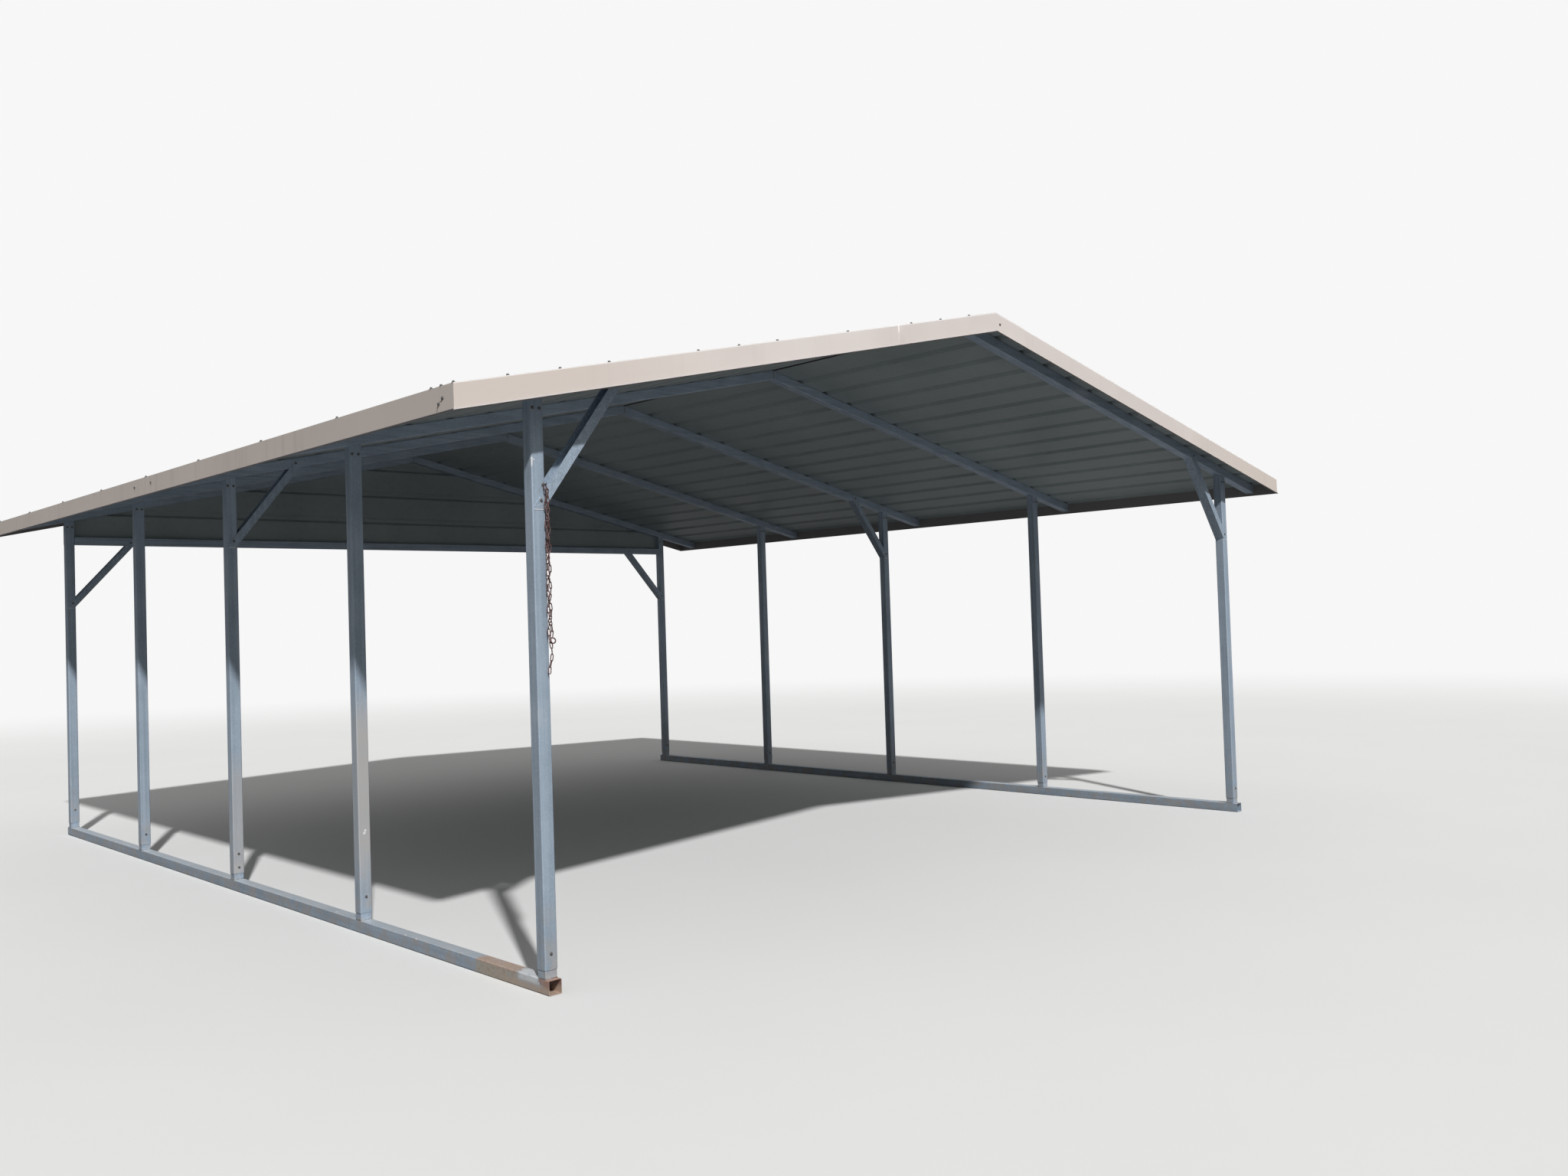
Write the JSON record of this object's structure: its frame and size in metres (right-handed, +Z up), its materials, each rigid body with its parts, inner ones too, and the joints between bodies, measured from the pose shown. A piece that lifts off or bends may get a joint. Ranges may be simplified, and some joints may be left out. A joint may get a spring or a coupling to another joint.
{
  "type": "open gable carport",
  "caption": "Free-standing open carport: square steel tube frame on two base rails, ribbed steel gable roof, closed back gable and folded trim.",
  "frame": {"origin": "middle of the base, level with the undersides of the two base rails", "axes": "+X across from the left row of posts to the right, +Y from the open front to the closed back gable, along the ridge, +Z up"},
  "size_m": [6.3526, 6.4988, 2.9524],
  "materials": {
    "galvanised_steel": "weathered galvanised square tube, dull grey with a soft sheen",
    "roof_sheet": "ribbed steel sheet, thin pale coil coating",
    "tan_trim": "tan coil coating, satin, a little streaked"
  },
  "bodies": {
    "root": {"base_rail_left": "galvanised_steel", "post_left_1": "galvanised_steel", "post_left_2": "galvanised_steel", "post_left_3": "galvanised_steel", "post_left_4": "galvanised_steel", "post_left_5": "galvanised_steel", "rafter_left_1": "galvanised_steel", "rafter_left_2": "galvanised_steel", "rafter_left_3": "galvanised_steel", "rafter_left_4": "galvanised_steel", "rafter_left_5": "galvanised_steel", "knee_brace_left_1": "galvanised_steel", "knee_brace_left_3": "galvanised_steel", "knee_brace_left_5": "galvanised_steel", "roof_sheet_left_1": "roof_sheet", "roof_sheet_left_2": "roof_sheet", "roof_sheet_left_3": "roof_sheet", "roof_sheet_left_4": "roof_sheet", "eave_trim_left": "tan_trim", "gable_trim_front_left": "tan_trim", "gable_trim_back_left": "tan_trim", "base_rail_right": "galvanised_steel", "post_right_1": "galvanised_steel", "post_right_2": "galvanised_steel", "post_right_3": "galvanised_steel", "post_right_4": "galvanised_steel", "post_right_5": "galvanised_steel", "rafter_right_1": "galvanised_steel", "rafter_right_2": "galvanised_steel", "rafter_right_3": "galvanised_steel", "rafter_right_4": "galvanised_steel", "rafter_right_5": "galvanised_steel", "knee_brace_right_1": "galvanised_steel", "knee_brace_right_3": "galvanised_steel", "knee_brace_right_5": "galvanised_steel", "roof_sheet_right_1": "roof_sheet", "roof_sheet_right_2": "roof_sheet", "roof_sheet_right_3": "roof_sheet", "roof_sheet_right_4": "roof_sheet", "eave_trim_right": "tan_trim", "gable_trim_front_right": "tan_trim", "gable_trim_back_right": "tan_trim", "ridge_cap": "tan_trim", "gable_panel_back": "roof_sheet", "gable_header_back": "galvanised_steel"}
  },
  "joints": []
}
